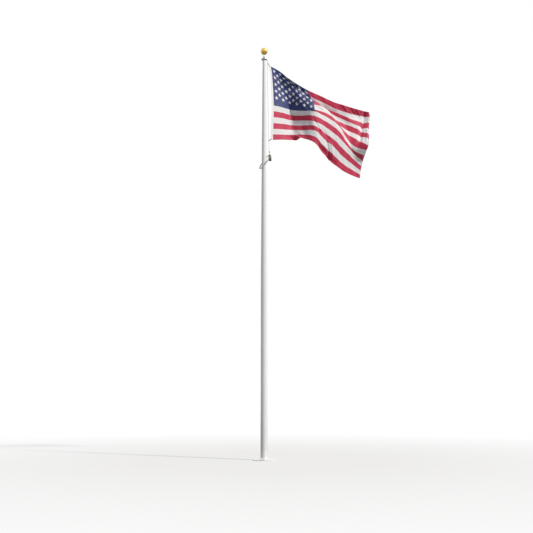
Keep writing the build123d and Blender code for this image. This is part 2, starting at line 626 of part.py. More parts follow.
# Grommets in the heading, and the two snap hooks that hold it to the halyard
grommet_face = CLOTH_THICKNESS / 2 + 2 * SEAT_GAP
for name, hole_plane in hole_planes.items():
    with BuildPart() as grommet:
        with BuildSketch(hole_plane):
            Circle(GROMMET_NECK_RADIUS)
        extrude(amount=grommet_face, both=True)
        with BuildSketch(hole_plane.offset(grommet_face), hole_plane.offset(-grommet_face - GROMMET_FLANGE)):
            Circle(GROMMET_RADIUS)
        extrude(amount=GROMMET_FLANGE)
        with BuildSketch(hole_plane.offset(-grommet_face - GROMMET_FLANGE)):
            Circle(GROMMET_HOLE_RADIUS)
        extrude(amount=2 * grommet_face + 2 * GROMMET_FLANGE, mode=Mode.SUBTRACT)
    save(grommet, f"grommet_{name}")

lead_wire = lead_path.wire()
rope_share = (lead_top - hook_height) / (lead_top - lead_foot[1])
bow_sag = HOOK_BOW_RADIUS - math.sqrt(HOOK_BOW_RADIUS**2 - (grommet_face + GROMMET_FLANGE) ** 2)
bow_shift = GROMMET_HOLE_RADIUS - RING_WIRE_RADIUS - bow_sag - 2 * SEAT_GAP
bow_back = -HOOK_BOW_RADIUS - HOOK_BOW_LENGTH
link_slack = LINK_RADIUS - 3 * LINK_WIRE_RADIUS + HOOK_EYE_RADIUS - SEAT_GAP
for name, anchor, anchor_way in (
    ("top", link_centre, None),
    ("bottom", lead_wire @ rope_share, lead_wire % rope_share),
):
    hole_plane = hole_planes[name]
    pull = (hole_plane.origin - anchor).normalized()
    bow_way = (pull - hole_plane.z_dir * pull.dot(hole_plane.z_dir)).normalized()
    bow_end = hole_plane.origin - bow_way * bow_shift
    bow_foot = bow_end - bow_way * (HOOK_BOW_LENGTH + 2 * HOOK_BOW_RADIUS)
    pull = (bow_foot - anchor).normalized()
    if anchor_way is None:
        eye_axis = pull.cross(side_way)
        eye_slack = link_slack
    else:
        eye_axis = (anchor_way - pull * pull.dot(anchor_way)).normalized()
        eye_slack = HOOK_EYE_RADIUS - (RING_WIRE_RADIUS + ROPE_RADIUS + SEAT_GAP) / anchor_way.dot(eye_axis)
    eye_centre = anchor + pull * eye_slack
    bow_plane = Plane(
        origin=bow_end, x_dir=bow_way, z_dir=bow_way.cross(hole_plane.z_dir)
    )
    shank_foot = eye_centre + pull * (HOOK_EYE_RADIUS + RING_WIRE_RADIUS / 2)
    shank_length = (bow_foot - shank_foot).length + RING_WIRE_RADIUS
    with BuildPart() as snap:
        add(ring(eye_centre, eye_axis, HOOK_EYE_RADIUS, RING_WIRE_RADIUS))
        with BuildSketch(Plane(origin=shank_foot, z_dir=pull)) as shank:
            Circle(HOOK_SHANK_RADIUS)
        extrude(amount=shank_length)
        with BuildLine(bow_plane) as bow:
            Line((-HOOK_BOW_RADIUS, HOOK_BOW_RADIUS), (bow_back, HOOK_BOW_RADIUS))
            CenterArc((bow_back, 0), HOOK_BOW_RADIUS, 90, 180)
            Line((bow_back, -HOOK_BOW_RADIUS), (-HOOK_BOW_RADIUS, -HOOK_BOW_RADIUS))
            CenterArc((-HOOK_BOW_RADIUS, 0), HOOK_BOW_RADIUS, -90, 180)
        bow_start = bow_plane.from_local_coords((-HOOK_BOW_RADIUS, HOOK_BOW_RADIUS, 0))
        with BuildSketch(Plane(origin=bow_start, z_dir=bow_way)):
            Circle(RING_WIRE_RADIUS)
        sweep(path=bow.wire())
    save(snap, f"snap_{name}")
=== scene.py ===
"""Looks of the tapered flagpole with its revolving truck, internal halyard and flying flag.

Everything is in metres in the CAD frame: the pole's axis is Z, the ground is at z = 0, the viewer
stands on the -Y side, and the flag streams out towards +X and +Y.
"""

import json
import logging
import math
from dataclasses import dataclass, field
from enum import Enum
from functools import partial
from itertools import accumulate
from typing import Any, Callable, Optional, Sequence

import bmesh
import bpy
from mathutils import Matrix, Vector

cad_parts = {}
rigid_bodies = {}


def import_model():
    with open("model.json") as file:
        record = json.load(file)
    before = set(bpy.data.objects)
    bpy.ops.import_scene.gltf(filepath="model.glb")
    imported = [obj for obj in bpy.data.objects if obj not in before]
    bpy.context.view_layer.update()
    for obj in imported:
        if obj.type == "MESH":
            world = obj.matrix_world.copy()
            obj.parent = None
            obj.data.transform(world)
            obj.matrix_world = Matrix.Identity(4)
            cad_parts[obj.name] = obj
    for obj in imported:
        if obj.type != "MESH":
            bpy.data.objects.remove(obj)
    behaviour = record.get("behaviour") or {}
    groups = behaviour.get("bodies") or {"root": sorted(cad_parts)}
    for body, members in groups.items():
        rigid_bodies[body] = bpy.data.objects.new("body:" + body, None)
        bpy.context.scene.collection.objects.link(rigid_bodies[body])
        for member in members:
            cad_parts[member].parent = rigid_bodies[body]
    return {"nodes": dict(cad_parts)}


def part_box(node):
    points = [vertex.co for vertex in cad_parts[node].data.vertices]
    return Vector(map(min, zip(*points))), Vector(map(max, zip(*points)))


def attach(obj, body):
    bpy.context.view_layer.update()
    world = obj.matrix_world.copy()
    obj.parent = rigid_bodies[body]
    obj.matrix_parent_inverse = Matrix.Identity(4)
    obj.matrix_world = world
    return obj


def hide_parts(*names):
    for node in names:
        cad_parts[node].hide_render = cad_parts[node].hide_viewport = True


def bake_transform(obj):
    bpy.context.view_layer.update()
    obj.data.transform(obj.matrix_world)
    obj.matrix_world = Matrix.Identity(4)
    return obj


for leftover in list(bpy.data.objects):
    bpy.data.objects.remove(leftover)
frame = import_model()

log = logging.getLogger("flagpole")
MM = 0.001
# Points closer than this are one point
SAME_PLACE = 1e-6
# The flag's direction, turned from +X towards +Y
FLAG_ANGLE = math.radians(34.0)
# Length and width of the flag's cloth laid flat, heading included
FLAT = (3.5, 2.1)
# Sockets of a Mix node that carry colours: its two inputs and its result
FIRST, SECOND, MIXED = 6, 7, 2

Mesh = bmesh.types.BMesh
Piece = bpy.types.Object
Profile = Sequence[tuple[float, float]]
Sockets = Optional[dict[str | int, Any]]


def linear(colour: str) -> tuple[float, float, float, float]:
    """Turn an sRGB hex colour into linear red, green, blue and an alpha of 1."""
    parts = [int(colour[i:i + 2], 16) / 255 for i in (1, 3, 5)]
    return (*(p / 12.92 if p <= 0.04045 else ((p + 0.055) / 1.055) ** 2.4 for p in parts), 1.0)


def add_node(tree: bpy.types.NodeTree, kind: str, settings: Sockets = None,
             links: Sockets = None) -> bpy.types.Node:
    """Add a shader node with its settings and links.

    Args:
        tree: The material's or world's node tree.
        kind: The node's type name without the ShaderNode prefix.
        settings: Values by the name of a property, or by the name or number of an input.
        links: Output sockets by the name or number of the input they feed.

    Returns:
        The new node.
    """
    node = tree.nodes.new("ShaderNode" + kind)
    for name, value in (settings or {}).items():
        if isinstance(name, str) and hasattr(node, name):
            setattr(node, name, value)
        else:
            node.inputs[name].default_value = value
    for name, output in (links or {}).items():
        tree.links.new(output, node.inputs[name])
    return node


def node_adder(owner: bpy.types.Material | bpy.types.World) -> Callable[..., Any]:
    """Empty the node tree of a material or a world, and give the function that adds to it."""
    owner.use_nodes = True
    owner.node_tree.nodes.clear()
    return partial(add_node, owner.node_tree)


class Grain(Enum):
    """How a surface was made, which sets its fine pattern."""

    PEEL = "sprayed and baked"
    CAST = "sand cast"
    SPUN = "spun on a lathe about Z"
    DRAWN = "drawn along Z"
    MOULDED = "moulded"
    BRAID = "braided"
    WEAVE = "woven"
    THREAD = "stitched"


# Directions of the two rows of threads that cross in a cloth, a braid or a stitch
THREAD_WAYS = {
    Grain.WEAVE: ((1, 0, 0), (0, 1, 0)),
    Grain.BRAID: ((0.7, 0.7, 1), (0.7, 0.7, -1)),
    Grain.THREAD: ((1, 1, 0), (1, 1, 0.2)),
}
# Grains that follow the flag's cloth, laid on its UV map
SEWN = (Grain.WEAVE, Grain.THREAD)
# Stretch along X, Y and Z of the lines that a lathe or a die leaves
STRETCH = {Grain.SPUN: (0.02, 0.02, 1.0), Grain.DRAWN: (1.0, 1.0, 0.01)}


@dataclass(frozen=True)
class Finish:
    """A finish, from what the real surface is made of to how it was made.

    Attributes:
        name: The common name of the material.
        colour: Its main colour, sRGB hex.
        second: The colour of its blotches, dust or worn places.
        roughness: Roughness of the clean surface.
        grain: How the surface was made.
        grain_mm: Size of the grain.
        relief_mm: Height of the grain.
        patch_mm: Size of the blotches.
        patchiness: The most that the second colour shows, 0 to 1.
        metallic: 1 for bare metal.
        coat: Weight of a clear coat.
        sheen: Weight of cloth sheen.
        specular: Specular level of a surface that is not metal.
        glow: Share of light that passes through thin cloth.
    """

    name: str
    colour: str
    second: str
    roughness: float
    grain: Grain
    grain_mm: float
    relief_mm: float
    patch_mm: float = 300.0
    patchiness: float = 0.4
    metallic: float = 0.0
    coat: float = 0.0
    sheen: float = 0.0
    specular: float = 0.5
    glow: float = 0.0

    def pattern(self, add: Callable[..., Any], place: Any) -> Any:
        """Add the fine pattern of the grain.

        Args:
            add: The function that adds a node to the material.
            place: The output socket that gives the place on the surface in metres.

        Returns:
            The output socket of the pattern's height, 0 to 1.
        """
        per_metre = 1 / (self.grain_mm * MM)
        if self.grain in THREAD_WAYS:
            waves = []
            for way in THREAD_WAYS[self.grain]:
                turns = [part * per_metre * math.tau for part in way]
                along = add("VectorMath", {"operation": "DOT_PRODUCT", 1: turns}, {0: place})
                wave = add("Math", {"operation": "SINE"}, {0: along.outputs["Value"]})
                waves.append(wave.outputs[0])
            both = add("Math", {"operation": "MULTIPLY"}, {0: waves[0], 1: waves[1]})
            return add("MapRange", {"From Min": -1.0}, {"Value": both.outputs[0]}).outputs[0]
        stretch = {"Scale": STRETCH.get(self.grain, (1.0, 1.0, 1.0))}
        laid = {"Vector": add("Mapping", stretch, {"Vector": place}).outputs[0]}
        if self.grain is Grain.CAST:
            pebbles = {"feature": "SMOOTH_F1", "Scale": per_metre}
            return add("TexVoronoi", pebbles, laid).outputs["Distance"]
        specks = {"Scale": per_metre, "Detail": 3.0, "Roughness": 0.55}
        return add("TexNoise", specks, laid).outputs["Fac"]

    def material(self) -> bpy.types.Material:
        """Give the Blender material of this finish, made once.

        Returns:
            The material.
        """
        known = bpy.data.materials.get(self.name)
        if known is not None:
            return known
        made = bpy.data.materials.new(self.name)
        add = node_adder(made)
        places = add("TexCoord").outputs
        source = places["Object"]
        if self.grain in SEWN:
            flat = add("Mapping", {"Scale": (*FLAT, 1.0)}, {"Vector": places["UV"]})
            source = flat.outputs[0]
        height = self.pattern(add, source)
        patches = {"Scale": 1 / (self.patch_mm * MM), "Detail": 5.0, "Roughness": 0.6}
        blotch = {"Value": add("TexNoise", patches, {"Vector": source}).outputs["Fac"]}
        shown = {"From Min": 0.4, "From Max": 0.75, "To Max": self.patchiness}
        share = add("MapRange", shown, blotch)
        colours = {"data_type": "RGBA", FIRST: linear(self.colour), SECOND: linear(self.second)}
        colour = add("Mix", colours, {"Factor": share.outputs[0]})
        spread = {"To Min": max(0.02, self.roughness - 0.06), "To Max": min(1.0, self.roughness + 0.1)}
        rough = add("MapRange", spread, blotch)
        relief = {"Strength": 0.6, "Distance": self.relief_mm * MM}
        bump = add("Bump", relief, {"Height": height})
        surface = add(
            "BsdfPrincipled",
            {"Metallic": self.metallic, "Coat Weight": self.coat, "Sheen Weight": self.sheen,
             "Specular IOR Level": self.specular, "Coat Roughness": 0.12},
            {"Base Color": colour.outputs[MIXED], "Roughness": rough.outputs[0],
             "Normal": bump.outputs[0]})
        result = surface.outputs[0]
        if self.glow:
            through = add("BsdfTranslucent", {}, {"Color": colour.outputs[MIXED]})
            thin = add("MixShader", {0: self.glow}, {1: result, 2: through.outputs[0]})
            result = thin.outputs[0]
        add("OutputMaterial", {}, {"Surface": result})
        return made


# Polyester powder coat, sprayed and baked: a soft gloss with a fine orange peel
WHITE_ENAMEL = Finish(
    "baked_white_enamel", "#F0F0F3", "#E2E1E4", 0.28, Grain.PEEL, 3.0, 0.05, patch_mm=700,
    patchiness=0.35, coat=1.0, specular=0.8)
# Mill-finish plate, drawn: dull with fine lines
MILL_PLATE = Finish(
    "mill_aluminium_plate", "#B9BBBE", "#9C9C9B", 0.42, Grain.DRAWN, 1.2, 0.03, metallic=1.0)
# Sand-cast truck: a pebbled grey skin with darker patches
CAST_TRUCK = Finish(
    "sand_cast_aluminium", "#C4C6C8", "#8F9090", 0.45, Grain.CAST, 2.5, 0.15, patch_mm=40, metallic=1.0)
# Spun bonnet: bright with faint rings left by the tool
SPUN_BONNET = Finish(
    "spun_aluminium", "#D3D5D8", "#A8A9AA", 0.3, Grain.SPUN, 0.8, 0.04, patch_mm=60, metallic=1.0)
# Stainless steel fittings: satin with a warm bloom in places
STAINLESS = Finish(
    "stainless_steel", "#C2C3C5", "#9C9994", 0.32, Grain.DRAWN, 0.6, 0.02, patch_mm=15, metallic=1.0)
# Gold anodised aluminium ball: a warm mirror, hazed in patches by the weather
GOLD_BALL = Finish(
    "gold_anodised_aluminium", "#E8C272", "#B08E4E", 0.40, Grain.SPUN, 1.5, 0.02, patch_mm=90,
    patchiness=0.5, metallic=1.0)
# Old bronze snap: dark brown, paler where it rubs
OLD_BRONZE = Finish(
    "weathered_bronze", "#3A2F26", "#5C4A30", 0.42, Grain.CAST, 0.8, 0.05, patch_mm=10, metallic=1.0)
# Rolled brass grommets: yellow with brown tarnish
ROLLED_BRASS = Finish(
    "rolled_brass", "#C59B4C", "#8A6A35", 0.3, Grain.SPUN, 0.5, 0.01, patch_mm=12, metallic=1.0)
# Black nylon sheaves and bearing, machined: satin; on the bearing ring the black also paints part of the
# shade in the band under the bonnet
BLACK_NYLON_AND_SHADE = Finish("machined_nylon_with_painted_shade", "#232427", "#33353A", 0.45, Grain.SPUN, 0.6, 0.02, patch_mm=20)
# White nylon snap, moulded: a little yellowed by the sun
WHITE_NYLON = Finish(
    "moulded_white_nylon", "#ECEAE2", "#D2CEC2", 0.4, Grain.MOULDED, 1.0, 0.02, patch_mm=15)
# Solid-braid polyester rope: off-white, greyed in patches
BRAIDED_ROPE = Finish(
    "braided_polyester_rope", "#CDD3D9", "#A2A9B0", 0.8, Grain.BRAID, 7.0, 0.6, patch_mm=60, sheen=0.2)
# Steel cable in a clear vinyl sleeve gone cloudy
VINYL_CABLE = Finish(
    "vinyl_coated_cable", "#8E9490", "#767B78", 0.35, Grain.BRAID, 3.0, 0.2, patch_mm=30, coat=0.3)
# Moulded nylon beads: pale grey-green, a soft gloss under dust
SLING_BEAD = Finish(
    "moulded_nylon_beads", "#BAC4B8", "#949F94", 0.3, Grain.MOULDED, 2.0, 0.03, patch_mm=25,
    patchiness=0.5, coat=0.2)
# Counterweight dipped in vinyl: dark grey-brown, matt, scuffed
DIPPED_VINYL = Finish(
    "dipped_vinyl_skin", "#48433F", "#6A655F", 0.55, Grain.MOULDED, 4.0, 0.15, patch_mm=50,
    patchiness=0.5)
# Cotton duck heading: a coarse plain weave, chalky white
DUCK_HEADING = Finish(
    "cotton_duck", "#F8F8F9", "#EAEAEA", 0.9, Grain.WEAVE, 2.4, 0.3, patch_mm=80, sheen=0.2)
# Dyed flag nylon in three colours: a tight plain weave with a silky shine
RED_NYLON = Finish(
    "red_flag_nylon", "#D43B5D", "#C73053", 0.5, Grain.WEAVE, 2.0, 0.12, sheen=0.35, specular=0.2,
    glow=0.12)
WHITE_NYLON_CLOTH = Finish(
    "white_flag_nylon", "#F4F4F7", "#ECECF2", 0.5, Grain.WEAVE, 2.0, 0.12, sheen=0.3, specular=0.2,
    glow=0.12)
NAVY_NYLON = Finish(
    "navy_flag_nylon", "#333F7E", "#2C3770", 0.42, Grain.WEAVE, 2.0, 0.12, sheen=0.6, specular=0.2,
    glow=0.08)
# Satin-stitched stars: fine rows of white thread
STAR_THREAD = Finish("satin_stitch_thread", "#F6F6F8", "#E6E6EC", 0.45, Grain.THREAD, 1.6, 0.3, sheen=0.3)


def dress(finish: Finish, *nodes: str) -> None:
    """Give CAD nodes a finish.

    Args:
        finish: The finish for all of their faces.
        nodes: The names of the CAD nodes.
    """
    for node in nodes:
        slots = frame["nodes"][node].material_slots
        for place in slots:
            place.material = finish.material()
        if not slots:
            frame["nodes"][node].data.materials.append(finish.material())
        log.info("dressed %s in %s", node, finish.name)


def finished(name: str, mesh: Mesh, finishes: Sequence[Finish], smooth: bool = True) -> Piece:
    """Turn a bmesh into an object at the origin.

    Args:
        name: The piece's name.
        mesh: Its shape, which is freed.
        finishes: Its finishes, in the order of its faces' material numbers.
        smooth: Whether its faces are shaded smooth.

    Returns:
        The new object.
    """
    for face in mesh.faces:
        face.smooth = smooth
    data = bpy.data.meshes.new(name)
    mesh.to_mesh(data)
    mesh.free()
    for finish in finishes:
        data.materials.append(finish.material())
    made = bpy.data.objects.new(name, data)
    bpy.context.scene.collection.objects.link(made)
    log.info("made %s: %d faces", name, len(data.polygons))
    return made


def steps(start: float, end: float, count: int) -> list[float]:
    """Give even steps from a start up to an end, which is left out."""
    return [start + (end - start) * k / count for k in range(count)]


def centre(node: str) -> Vector:
    """Give the middle of a CAD node's box."""
    return sum(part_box(node), Vector()) / 2


def frame_at(place: Vector, way: Vector) -> Matrix:
    """Give the matrix that sets a shape at a place with its Z along a way."""
    return Matrix.Translation(place) @ way.to_track_quat("Z", "Y").to_matrix().to_4x4()


def pour(own: Mesh, mesh: Mesh) -> None:
    """Add one mesh to another, and free the first."""
    held = bpy.data.meshes.new("held")
    own.to_mesh(held)
    own.free()
    mesh.from_mesh(held)
    bpy.data.meshes.remove(held)


def turned_shape(mesh: Mesh, profile: Profile, sides: int, matrix: Matrix,
                 closed: bool = False) -> None:
    """Spin a profile about Z and add the turned shape to a mesh.

    Args:
        mesh: The mesh that takes it.
        profile: Radius and height of each point in metres.
        sides: Number of faces round the shape.
        matrix: Where the shape goes.
        closed: Whether the profile's last point joins its first.
    """
    own = bmesh.new()
    points = [own.verts.new((radius, 0, height)) for radius, height in profile]
    edges = [own.edges.new(pair) for pair in zip(points, points[1:])]
    if closed:
        edges.append(own.edges.new((points[-1], points[0])))
    bmesh.ops.spin(own, geom=points + edges, cent=(0, 0, 0), axis=(0, 0, 1), dvec=(0, 0, 0),
                   angle=math.tau, steps=sides, use_merge=True, use_duplicate=False)
    bmesh.ops.remove_doubles(own, verts=own.verts[:], dist=SAME_PLACE)
    bmesh.ops.recalc_face_normals(own, faces=own.faces[:])
    bmesh.ops.transform(own, matrix=matrix, verts=own.verts[:])
    pour(own, mesh)


def screw_head(mesh: Mesh, place: Vector, way: Vector, radius: float) -> None:
    """Add a domed screw head with a hexagon socket.

    Args:
        mesh: The mesh that takes it.
        place: The middle of its under face.
        way: The direction that it faces.
        radius: Its radius in metres.
    """
    height = radius * 0.9
    profile = [(0, 0), (radius, 0), (radius, height * 0.4), (radius * 0.8, height * 0.85),
               (radius * 0.55, height), (radius * 0.5, height), (radius * 0.5, height * 0.4),
               (0, height * 0.4)]
    turned_shape(mesh, profile, 12, frame_at(place, way))


def fly(reach: float, side: float, height: float) -> Vector:
    """Give the point, in metres, at a reach along the flag, a side to its left and a height, in mm."""
    cos, sin = math.cos(FLAG_ANGLE), math.sin(FLAG_ANGLE)
    return Vector((reach * cos - side * sin, reach * sin + side * cos, height)) * MM


def rope(name: str, route: Sequence[Vector], radius: float, finish: Finish) -> Piece:
    """Make a rope that follows a smooth line through its route.

    Args:
        name: The piece's name.
        route: The line's control points in metres.
        radius: The rope's radius in metres.
        finish: Its finish.

    Returns:
        The rope, a closed mesh tube.
    """
    curve = bpy.data.curves.new(name, "CURVE")
    curve.dimensions = "3D"
    curve.bevel_depth = radius
    curve.bevel_resolution = 3
    curve.resolution_u = 24
    curve.use_fill_caps = True
    line = curve.splines.new("NURBS")
    line.points.add(len(route) - 1)
    for point, place in zip(line.points, route):
        point.co = (*place, 1.0)
    line.order_u = 3
    line.use_endpoint_u = True
    held = bpy.data.objects.new(name + "_line", curve)
    bpy.context.scene.collection.objects.link(held)
    bpy.context.view_layer.update()
    data = bpy.data.meshes.new_from_object(held.evaluated_get(bpy.context.evaluated_depsgraph_get()))
    bpy.data.objects.remove(held)
    shape = bmesh.new()
    shape.from_mesh(data)
    bpy.data.meshes.remove(data)
    bmesh.ops.remove_doubles(shape, verts=shape.verts[:], dist=SAME_PLACE)
    bmesh.ops.recalc_face_normals(shape, faces=shape.faces[:])
    for face in shape.faces:
        face.material_index = 0
    return finished(name, shape, [finish])


@dataclass
class View:
    """The camera where the photographer stood.

    Attributes:
        eye: Its place.
        tilt: How far it looks up, in degrees.
        focal: Its focal length in pixels.
        width: The picture's width in pixels.
        rise: How far the picture's middle is above the view's axis, in pixels.
        net_scale: Steps of the flag's net in a pixel.
        corner: The flag's top corner: pixels left of the middle and above the view's axis.
    """

    eye: Vector = field(default_factory=lambda: Vector((0.063, -20.69, 1.51)))
    tilt: float = 8.18
    focal: float = 800.0
    width: float = 533.0
    rise: float = 18.5
    net_scale: float = 12.06
    corner: tuple[float, float] = (4.5, 227.0)

    def build(self) -> None:
        """Make the camera and set it as the scene's."""
        data = bpy.data.cameras.new("viewer")
        data.sensor_width = 36.0
        data.lens = data.sensor_width * self.focal / self.width
        data.shift_y = self.rise / self.width
        data.clip_end = 300.0
        camera = bpy.data.objects.new("viewer", data)
        camera.location = self.eye
        camera.rotation_euler = (math.radians(90 + self.tilt), 0, 0)
        bpy.context.scene.collection.objects.link(camera)
        bpy.context.scene.camera = camera

    def seen(self, right: float, down: float, behind: float) -> Vector:
        """Give the point that stands at a place in the view.

        Args:
            right: Steps of the net right of the flag's corner.
            down: Steps of the net below it.
            behind: Centimetres behind the pole's axis.

        Returns:
            The point in metres.
        """
        across = (right / self.net_scale - self.corner[0]) / self.focal
        up = (self.corner[1] - down / self.net_scale) / self.focal
        tilt = math.radians(self.tilt)
        ray = Vector((across, math.cos(tilt) - up * math.sin(tilt),
                      math.sin(tilt) + up * math.cos(tilt)))
        return self.eye + ray * ((behind / 100 - self.eye.y) / ray.y)


@dataclass
class Studio:
    """A pale floor, a key light from the right and soft light from all round.

    Attributes:
        fade: The reaches between which the floor turns white to the camera.
        nearest_white: How white it is within the first of them, 0 to 1.
        shown_tone: The floor's colour to the camera.
        ground_tone: Its colour to the light, that of open ground, so that shade stays deep.
    """

    floor_reach: float = 60.0
    fade: tuple[float, float] = (3.0, 16.0)
    nearest_white: float = 0.5
    shown_tone: str = "#F2F2F2"
    ground_tone: str = "#B4B7B2"
    key_strength: float = 3.0
    key_degrees: float = 5.0
    key_way: Vector = field(default_factory=lambda: Vector((-0.68, 0.39, -0.62)))
    sky_strength: float = 0.24

    def build(self) -> None:
        """Make the world, the key light and the floor."""
        self.light_world()
        lamp = bpy.data.lights.new("key", "SUN")
        lamp.energy = self.key_strength
        lamp.angle = math.radians(self.key_degrees)
        lamp.color = linear("#FFFAF2")[:3]
        key = bpy.data.objects.new("key", lamp)
        key.rotation_euler = self.key_way.to_track_quat("-Z", "Y").to_euler()
        bpy.context.scene.collection.objects.link(key)
        shape = bmesh.new()
        bmesh.ops.create_circle(shape, cap_ends=True, segments=96, radius=self.floor_reach)
        floor = finished("studio_floor", shape, [])
        floor.data.materials.append(self.floor_material())

    def light_world(self) -> None:
        """Make a world that is white to the camera and soft and cool as a light."""
        world = bpy.data.worlds.new("studio")
        bpy.context.scene.world = world
        add = node_adder(world)
        path = add("LightPath").outputs
        larger = {"operation": "MAXIMUM"}
        direct = {0: path["Is Camera Ray"], 1: path["Is Transmission Ray"]}
        seen = add("Math", larger, direct).outputs[0]
        mirror = add("Math", larger, {0: seen, 1: path["Is Glossy Ray"]})
        sky = {"Color": linear("#E9EDFA"), "Strength": self.sky_strength}
        soft = add("Background", sky)
        white = add("Background", {"Color": linear("#FFFFFF"), "Strength": 1.0})
        lights = {0: mirror.outputs[0], 1: soft.outputs[0], 2: white.outputs[0]}
        mixed = add("MixShader", {}, lights)
        add("OutputWorld", {}, {"Surface": mixed.outputs[0]})

    def floor_material(self) -> bpy.types.Material:
        """Make the floor's paint, which runs out to the white of the background.

        Returns:
            The material.
        """
        made = bpy.data.materials.new("studio_paint")
        add = node_adder(made)
        place = add("TexCoord").outputs["Object"]
        reach = add("VectorMath", {"operation": "LENGTH"}, {0: place})
        fade = {"From Min": self.fade[0], "From Max": self.fade[1], "To Min": self.nearest_white}
        far = add("MapRange", fade, {"Value": reach.outputs["Value"]})
        camera = add("LightPath").outputs["Is Camera Ray"]
        tones = {"data_type": "RGBA", FIRST: linear(self.ground_tone), SECOND: linear(self.shown_tone)}
        tone = add("Mix", tones, {"Factor": camera})
        paint = add("BsdfDiffuse", {}, {"Color": tone.outputs[MIXED]})
        white = add("Emission", {"Color": linear("#FFFFFF"), "Strength": 1.0})
        shown = add("Math", {"operation": "MULTIPLY"}, {0: far.outputs[0], 1: camera})
        parts = {0: shown.outputs[0], 1: paint.outputs[0], 2: white.outputs[0]}
        mixed = add("MixShader", {}, parts)
        add("OutputMaterial", {}, {"Surface": mixed.outputs[0]})
        return made


@dataclass
class Mast:
    """The shaft with its collar, door and fixed truck sleeve."""

    door_screw_heights: tuple[float, ...] = (1.364, 1.136)
    door_screw_seat: float = 0.0899
    door_screw_radius: float = 0.0042
    collar_screw_degrees: tuple[float, ...] = (30, 150, 270)
    collar_screw_height: float = 0.070
    collar_screw_seat: float = 0.0909
    collar_screw_radius: float = 0.004

    def build(self) -> None:
        """Dress the CAD nodes and add the small fasteners."""
        dress(WHITE_ENAMEL, "pole_shaft", "flash_collar", "door_frame", "access_door")
        dress(MILL_PLATE, "foot_plate")
        dress(STAINLESS, "door_lock")
        dress(CAST_TRUCK, "truck_sleeve")
        # The bearing ring's black is partly real nylon and partly painted shade for the dark band under
        # the bonnet
        dress(BLACK_NYLON_AND_SHADE, "bearing_ring")
        self.add_screws()

    def add_screws(self) -> None:
        """Add the two screws of the door frame and the three of the collar."""
        screws = bmesh.new()
        for height in self.door_screw_heights:
            place = Vector((0, self.door_screw_seat, height))
            screw_head(screws, place, Vector((0, 1, 0)), self.door_screw_radius)
        for degrees in self.collar_screw_degrees:
            angle = math.radians(degrees)
            way = Vector((math.cos(angle), math.sin(angle), 0))
            place = way * self.collar_screw_seat + Vector((0, 0, self.collar_screw_height))
            screw_head(screws, place, way, self.collar_screw_radius)
        made = finished("mast_screws", screws, [STAINLESS], smooth=False)
        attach(made, "mast")


@dataclass
class Truck:
    """The revolving head: hub, sheaves, bonnet, spindle and ball."""

    housing_half: float = 0.016
    sheave_height: float = 10.7133
    sheave_reaches_mm: tuple[float, float] = (20.0, 85.0)
    ball_centre: float = 10.9226
    ball_radius: float = 0.095

    def build(self) -> None:
        """Dress the CAD nodes and add the pins' heads and the ball's seam."""
        dress(CAST_TRUCK, "truck_hub", "sheave_housing")
        dress(SPUN_BONNET, "truck_bonnet")
        dress(BLACK_NYLON_AND_SHADE, "sheave_inner", "sheave_outer")
        dress(STAINLESS, "sheave_pin_inner", "sheave_pin_outer", "ball_spindle", "spindle_nut")
        dress(GOLD_BALL, "ball")
        dress(BRAIDED_ROPE, "halyard_turn")
        self.add_pin_heads()
        self.add_ball_seam()

    def add_pin_heads(self) -> None:
        """Add a head at each end of each sheave pin."""
        heads = bmesh.new()
        profile = [(0, 0), (0.0078, 0), (0.0078, 0.0016), (0.0066, 0.0026), (0, 0.003)]
        side = fly(0, 1, 0).normalized()
        for reach in self.sheave_reaches_mm:
            for way in (side, -side):
                place = fly(reach, 0, self.sheave_height / MM) + way * self.housing_half
                turned_shape(heads, profile, 16, frame_at(place, way))
        made = finished("sheave_pin_heads", heads, [STAINLESS])
        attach(made, "truck")

    def add_ball_seam(self) -> None:
        """Add the rolled seam where the ball's two halves meet."""
        seam = bmesh.new()
        inner, outer = self.ball_radius - 0.0004, self.ball_radius + 0.0006
        profile = [(inner, -0.0022), (outer, -0.0012), (outer, 0.0012), (inner, 0.0022)]
        turned_shape(seam, profile, 96, Matrix.Translation((0, 0, self.ball_centre)), closed=True)
        made = finished("ball_seam", seam, [GOLD_BALL])
        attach(made, "truck")


